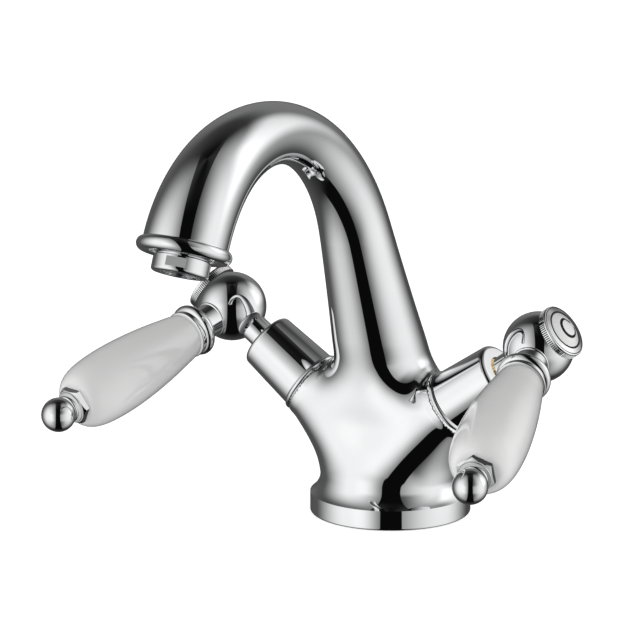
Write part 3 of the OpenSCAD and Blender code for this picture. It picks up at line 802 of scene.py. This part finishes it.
def nut_mesh(side, body, matrix, flip):
    """Hexagonal nut with a turned chamfer at its outer end."""
    # The two nuts stand at different angles in the photograph
    turn = math.radians(56 if flip else 28)
    flat_r = NUT_FLATS / 2
    face_r = flat_r - 0.05
    steepness = 0.8
    n = 96

    def hex_r(a):
        k = (a - turn) % (math.pi / 3) - math.pi / 6
        return flat_r / math.cos(k)

    angles = [2 * math.pi * k / n + turn for k in range(n)]
    levels = [[(NUT_BORE_R, NUT_START)] * n,
              [(hex_r(a), NUT_START) for a in angles],
              [(hex_r(a), NUT_END - max(0, hex_r(a) - face_r) * steepness) for a in angles],
              [(face_r, NUT_END)] * n,
              [(NUT_BORE_R, NUT_END)] * n]
    verts = [(r * math.cos(a), r * math.sin(a), t)
             for level in levels for (r, t), a in zip(level, angles)]
    build(f"{side}_hex_nut", verts, ring_faces(len(levels), n), CHROME, body,
          matrix, flip, 25, [f"{side}_grip_nut"])


side_pieces("cold", COLD_REST)
side_pieces("hot", HOT_REST)

# Every piece of the valves and levers, except the hot shroud's shell, is masked out of the
# chrome's reflections
for obj in bpy.data.objects:
    side_piece = obj.name.startswith(("hot_", "cold_")) and obj.name != "hot_shroud_shell"
    if obj.type == "MESH" and side_piece:
        obj.visible_glossy = False

# ---------------------------------------------------------------- studio
world = bpy.data.worlds.new("studio")
scene.world = world
world.use_nodes = True
wt = world.node_tree
wt.nodes.clear()


def math_node(op, a, b=None):
    """Output of a math node. a and b are numbers or other outputs."""
    n = wt.nodes.new("ShaderNodeMath")
    n.operation = op
    for i, v in enumerate((a, b)):
        if v is None:
            continue
        if isinstance(v, (int, float)):
            n.inputs[i].default_value = v
        else:
            wt.links.new(v, n.inputs[i])
    return n.outputs[0]


coord = wt.nodes.new("ShaderNodeTexCoord").outputs["Generated"]
split = wt.nodes.new("ShaderNodeSeparateXYZ")
wt.links.new(coord, split.inputs[0])
dx, dy, dz = split.outputs
# Azimuth in degrees, 0 towards -Y and 90 towards +X; elevation in degrees
azimuth = math_node("MULTIPLY", math_node("ARCTAN2", dx, math_node("MULTIPLY", dy, -1.0)),
                    180 / math.pi)
elevation = math_node("MULTIPLY", math_node("ARCSINE", dz), 180 / math.pi)


def away(centre):
    """Degrees between the azimuth and centre, from 0 to 180."""
    wrapped = math_node("WRAP", math_node("SUBTRACT", azimuth, centre), 180.0)
    wrapped.node.inputs[2].default_value = -180.0
    return math_node("ABSOLUTE", wrapped)


def fade(value, start, end, high=1.0, low=0.0):
    """Smooth fall from high at start to low at end."""
    n = wt.nodes.new("ShaderNodeMapRange")
    n.interpolation_type = "SMOOTHSTEP"
    wt.links.new(value, n.inputs["Value"])
    for k, v in (("From Min", start), ("From Max", end), ("To Min", high), ("To Max", low)):
        n.inputs[k].default_value = v
    return n.outputs["Result"]


def add(*terms):
    out = terms[0]
    for t in terms[1:]:
        out = math_node("ADD", out, t)
    return out


def times(*terms):
    out = terms[0]
    for t in terms[1:]:
        out = math_node("MULTIPLY", out, t)
    return out


# Two big soft boxes in a dim room, all darker towards the poles
tall = fade(math_node("ABSOLUTE", elevation), 10.0, 86.0, 1.0, 0.15)
left_box = fade(away(-36.0), 4.0, 68.0, 0.86)
right_box = fade(away(111.0), 4.0, 66.0, 0.84)
room = fade(away(-36.0), 0.0, 180.0, 0.10, 0.06)
light = times(add(left_box, right_box, room), tall)
# Low strips on both sides of the black one
low_band = fade(math_node("ABSOLUTE", math_node("ADD", elevation, 8.0)), 12.0, 34.0)
low_left = fade(away(-8.0), 0.0, 26.0, 0.24)
low_right = fade(away(60.0), 0.0, 46.0, 0.3)
strips = times(add(low_left, low_right), low_band)
# Long black strip in the plane of the lens, from the floor up and over the tap
lens = math.radians(31.0)
across = math_node("ABSOLUTE", add(times(dx, math.cos(lens)), times(dy, math.sin(lens))))
ahead = add(times(dx, math.sin(lens)), times(dy, -math.cos(lens)))
black = times(fade(across, 0.25, 0.262), fade(ahead, -0.35, -0.05, 0.0, 1.0),
              fade(elevation, 45.0, 72.0, 1.0, 0.86))
# Pale wall behind the tap, brightest at its right half
wall_band = fade(math_node("ABSOLUTE", math_node("SUBTRACT", elevation, 22.0)), 8.0, 30.0)
wall_right = fade(away(147.0), 12.0, 34.0, 0.56)
wall_left = fade(away(196.0), 10.0, 60.0, 0.12)
wall = times(add(wall_right, wall_left), wall_band)
reflected = add(times(add(light, wall, strips), math_node("SUBTRACT", 1.0, black)), 0.003)

# The chrome reflects all of that, matt surfaces get the boxes and an even fill, and the
# camera sees plain white
path = wt.nodes.new("ShaderNodeLightPath")
glossy = wt.nodes.new("ShaderNodeBackground")
wt.links.new(reflected, glossy.inputs["Color"])
soft = wt.nodes.new("ShaderNodeBackground")
wt.links.new(add(times(light, 1.5), 0.34), soft.inputs["Color"])
white = wt.nodes.new("ShaderNodeBackground")
white.inputs["Color"].default_value = (1, 1, 1, 1)
surroundings = wt.nodes.new("ShaderNodeMixShader")
wt.links.new(path.outputs["Is Diffuse Ray"], surroundings.inputs[0])
wt.links.new(glossy.outputs[0], surroundings.inputs[1])
wt.links.new(soft.outputs[0], surroundings.inputs[2])
seen = wt.nodes.new("ShaderNodeMixShader")
wt.links.new(path.outputs["Is Camera Ray"], seen.inputs[0])
wt.links.new(surroundings.outputs[0], seen.inputs[1])
wt.links.new(white.outputs[0], seen.inputs[2])
world_out = wt.nodes.new("ShaderNodeOutputWorld")
wt.links.new(seen.outputs[0], world_out.inputs["Surface"])

# Pale floor, seen by the camera alone
floor_mat = bpy.data.materials.new("pale_floor")
floor_mat.use_nodes = True
ft = floor_mat.node_tree
ft.nodes.clear()
matt = ft.nodes.new("ShaderNodeBsdfDiffuse")
matt.inputs["Color"].default_value = (0.9, 0.9, 0.9, 1)
glow = ft.nodes.new("ShaderNodeEmission")
glow.inputs["Strength"].default_value = 0.66
both = ft.nodes.new("ShaderNodeAddShader")
ft.links.new(matt.outputs[0], both.inputs[0])
ft.links.new(glow.outputs[0], both.inputs[1])
floor_out = ft.nodes.new("ShaderNodeOutputMaterial")
ft.links.new(both.outputs[0], floor_out.inputs["Surface"])
FLOOR_REACH, FLOOR_Z = 6.0, -0.0002
floor_mesh = bpy.data.meshes.new("floor")
corners = [(x * FLOOR_REACH, y * FLOOR_REACH, FLOOR_Z)
           for x, y in ((-1, -1), (1, -1), (1, 1), (-1, 1))]
floor_mesh.from_pydata(corners, [], [(0, 1, 2, 3)])
floor_mesh.materials.append(floor_mat)
floor = bpy.data.objects.new("floor", floor_mesh)
scene.collection.objects.link(floor)
floor.visible_glossy = False
floor.visible_diffuse = False

scene.view_settings.view_transform = "Standard"

# ---------------------------------------------------------------- camera
cam = bpy.data.cameras.new("camera")
cam.sensor_width, cam.lens = 36.0, 230.714
cam.clip_start, cam.clip_end = 0.1, 20.0
camera = bpy.data.objects.new("camera", cam)
scene.collection.objects.link(camera)
az, el, dist = math.radians(30.9), math.radians(13.0), 1.5
target = Vector((-0.0219, -0.0131, 0.0712))
offset = Vector((math.sin(az) * math.cos(el), -math.cos(az) * math.cos(el), math.sin(el))) * dist
camera.location = target + offset
camera.rotation_euler = (-offset).to_track_quat("-Z", "Y").to_euler()
scene.camera = camera
